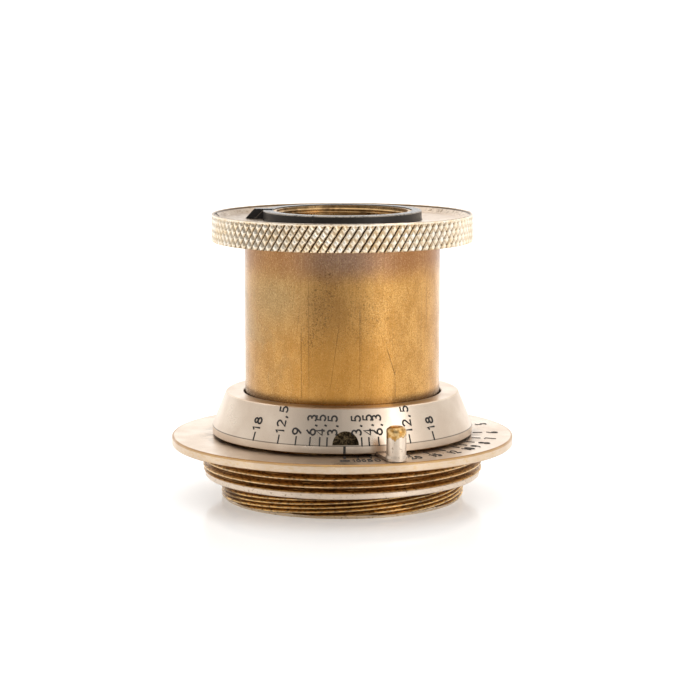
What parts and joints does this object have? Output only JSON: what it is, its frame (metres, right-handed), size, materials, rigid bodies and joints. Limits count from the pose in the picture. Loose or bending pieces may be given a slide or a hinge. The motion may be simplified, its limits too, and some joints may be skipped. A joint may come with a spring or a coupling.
{
  "type": "collapsible camera lens",
  "caption": "Collapsible screw-mount camera lens: knurled front ring with iris tab, brass sliding tube, depth-scale focusing sleeve, infinity catch and engraved flange.",
  "frame": {"origin": "centre of the rear face of the focusing cam, on the optical axis, where the lens stands on a table", "axes": "+Z along the optical axis to the front of the lens; -Y is the side with the index line and the focusing knob"},
  "size_m": [0.0476, 0.0476, 0.0402],
  "materials": {
    "nickel_plate": "satin nickel plate on brass, worn at the edges",
    "knurl_nickel": "nickel plate worn to brass on the knurl",
    "worn_brass": "aged brass tube with brushed marks",
    "bare_brass": "machined brass",
    "thread_brass": "dark oiled brass thread",
    "black_lacquer": "worn black lacquer",
    "steel": "dull steel",
    "blade_steel": "blued spring steel",
    "felt": "black felt",
    "optical_glass": "polished, uncoated"
  },
  "bodies": {
    "mount": {"mount_thread_collar": "thread_brass", "distance_flange": "nickel_plate", "flange_screws": "steel", "focus_stop_screw": "steel"},
    "grease_seal": {"grease_seal_ring": "felt"},
    "carrier": {"focus_sleeve": "thread_brass", "depth_scale_ring": "nickel_plate", "scale_ring_screws": "steel", "catch_bracket": "nickel_plate", "catch_bracket_screws": "steel"},
    "catch": {"catch_spring_plate": "nickel_plate", "focusing_knob": "nickel_plate"},
    "brake": {"brake_ring": "bare_brass", "brake_felt": "felt"},
    "tube": {"lens_tube": "worn_brass", "locking_lugs": "bare_brass", "lug_screws": "steel", "seat_ring": "black_lacquer", "locating_screws": "steel", "barrel_shim": "bare_brass", "barrel_clamp_ring": "bare_brass", "knurled_front_ring": "knurl_nickel", "lens_barrel": "bare_brass", "iris_base_plate": "black_lacquer", "iris_lock_ring": "black_lacquer", "front_cell": "black_lacquer", "front_element": "optical_glass", "front_keeper_ring": "black_lacquer", "rear_cell": "black_lacquer", "negative_element": "optical_glass", "element_spacer": "black_lacquer", "doublet_front_element": "optical_glass", "doublet_rear_element": "optical_glass", "rear_keeper_ring": "black_lacquer"},
    "aperture": {"aperture_ring": "black_lacquer", "link_screws": "steel", "iris_cam_ring": "black_lacquer"},
    "blade_01": {"iris_blade_01": "blade_steel"},
    "blade_02": {"iris_blade_02": "blade_steel"},
    "blade_03": {"iris_blade_03": "blade_steel"},
    "blade_04": {"iris_blade_04": "blade_steel"},
    "blade_05": {"iris_blade_05": "blade_steel"},
    "blade_06": {"iris_blade_06": "blade_steel"},
    "blade_07": {"iris_blade_07": "blade_steel"},
    "blade_08": {"iris_blade_08": "blade_steel"},
    "blade_09": {"iris_blade_09": "blade_steel"},
    "blade_10": {"iris_blade_10": "blade_steel"}
  },
  "joints": [
    {"name": "focus_turn", "type": "hinge", "parent": "mount", "child": "grease_seal", "pos_m": [0, 0, 0.0078], "axis": [0, 0, 1], "range_deg": [0, 156.6]},
    {"name": "focus_travel", "type": "slide", "parent": "grease_seal", "child": "carrier", "axis": [0, 0, 1], "range_m": [0, 0.00246]},
    {"name": "infinity_catch", "type": "hinge", "parent": "carrier", "child": "catch", "pos_m": [0.0058, -0.01714, 0.00905], "axis": [-0.9472, -0.3206, 0], "range_deg": [0, 4], "stiffness_Nm_per_rad": 0.1},
    {"name": "tube_twist", "type": "hinge", "parent": "carrier", "child": "brake", "pos_m": [0, 0, 0.0127], "axis": [0, 0, 1], "range_deg": [0, 30]},
    {"name": "tube_collapse", "type": "slide", "parent": "brake", "child": "tube", "axis": [0, 0, 1], "range_m": [-0.0205, 0]},
    {"name": "aperture_turn", "type": "hinge", "parent": "tube", "child": "aperture", "pos_m": [0, 0, 0.0385], "axis": [0, 0, 1], "range_deg": [0, 72]},
    {"name": "blade_01_swing", "type": "hinge", "parent": "tube", "child": "blade_01", "pos_m": [0, -0.0109, 0.0326], "axis": [0, 0, 1], "range_deg": [0, 29.6]},
    {"name": "blade_02_swing", "type": "hinge", "parent": "tube", "child": "blade_02", "pos_m": [0.00641, -0.00882, 0.0326], "axis": [0, 0, 1], "range_deg": [0, 29.6]},
    {"name": "blade_03_swing", "type": "hinge", "parent": "tube", "child": "blade_03", "pos_m": [0.01037, -0.00337, 0.0326], "axis": [0, 0, 1], "range_deg": [0, 29.6]},
    {"name": "blade_04_swing", "type": "hinge", "parent": "tube", "child": "blade_04", "pos_m": [0.01037, 0.00337, 0.0326], "axis": [0, 0, 1], "range_deg": [0, 29.6]},
    {"name": "blade_05_swing", "type": "hinge", "parent": "tube", "child": "blade_05", "pos_m": [0.00641, 0.00882, 0.0326], "axis": [0, 0, 1], "range_deg": [0, 29.6]},
    {"name": "blade_06_swing", "type": "hinge", "parent": "tube", "child": "blade_06", "pos_m": [0, 0.0109, 0.0326], "axis": [0, 0, 1], "range_deg": [0, 29.6]},
    {"name": "blade_07_swing", "type": "hinge", "parent": "tube", "child": "blade_07", "pos_m": [-0.00641, 0.00882, 0.0326], "axis": [0, 0, 1], "range_deg": [0, 29.6]},
    {"name": "blade_08_swing", "type": "hinge", "parent": "tube", "child": "blade_08", "pos_m": [-0.01037, 0.00337, 0.0326], "axis": [0, 0, 1], "range_deg": [0, 29.6]},
    {"name": "blade_09_swing", "type": "hinge", "parent": "tube", "child": "blade_09", "pos_m": [-0.01037, -0.00337, 0.0326], "axis": [0, 0, 1], "range_deg": [0, 29.6]},
    {"name": "blade_10_swing", "type": "hinge", "parent": "tube", "child": "blade_10", "pos_m": [-0.00641, -0.00882, 0.0326], "axis": [0, 0, 1], "range_deg": [0, 29.6]}
  ],
  "couplings": [
    {"joint": "focus_travel", "follows": "focus_turn", "m_per_rad": 0.00089923},
    {"joint": "blade_01_swing", "follows": "aperture_turn", "ratio": 0.4097},
    {"joint": "blade_02_swing", "follows": "aperture_turn", "ratio": 0.4097},
    {"joint": "blade_03_swing", "follows": "aperture_turn", "ratio": 0.4097},
    {"joint": "blade_04_swing", "follows": "aperture_turn", "ratio": 0.4097},
    {"joint": "blade_05_swing", "follows": "aperture_turn", "ratio": 0.4097},
    {"joint": "blade_06_swing", "follows": "aperture_turn", "ratio": 0.4097},
    {"joint": "blade_07_swing", "follows": "aperture_turn", "ratio": 0.4097},
    {"joint": "blade_08_swing", "follows": "aperture_turn", "ratio": 0.4097},
    {"joint": "blade_09_swing", "follows": "aperture_turn", "ratio": 0.4097},
    {"joint": "blade_10_swing", "follows": "aperture_turn", "ratio": 0.4097}
  ]
}
